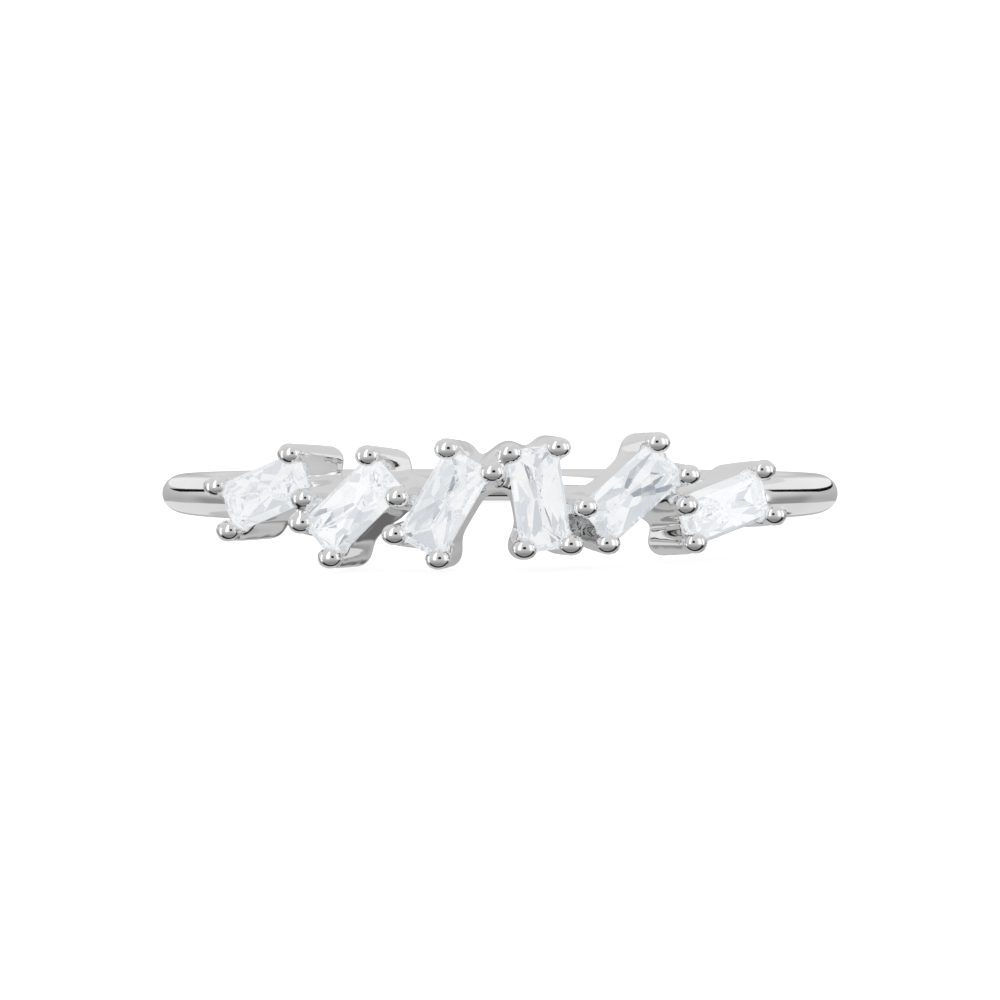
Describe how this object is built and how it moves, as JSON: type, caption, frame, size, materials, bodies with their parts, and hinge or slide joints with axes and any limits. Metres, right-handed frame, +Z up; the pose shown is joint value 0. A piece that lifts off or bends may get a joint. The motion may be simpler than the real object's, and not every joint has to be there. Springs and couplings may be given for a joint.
{
  "type": "ring",
  "caption": "Slim finger ring of polished white metal with rectangular clear stones in open prong settings, zig-zagged across its head; lying on its side.",
  "frame": {"origin": "centre of the footprint, on the surface that the ring rests on", "axes": "+Z up, away from the surface and within a few degrees of the finger axis; the head with its stones faces -Y; +X to the right as seen facing the head"},
  "size_m": [0.0198, 0.022, 0.0039],
  "materials": {
    "polished_metal": "mirror-polished rhodium-plated sterling silver",
    "clear_stone": "faceted and polished colourless cubic zirconia"
  },
  "bodies": {
    "root": {"band_and_settings": "polished_metal", "stone_1": "clear_stone", "stone_2": "clear_stone", "stone_3": "clear_stone", "stone_4": "clear_stone", "stone_5": "clear_stone", "stone_6": "clear_stone"}
  },
  "joints": []
}
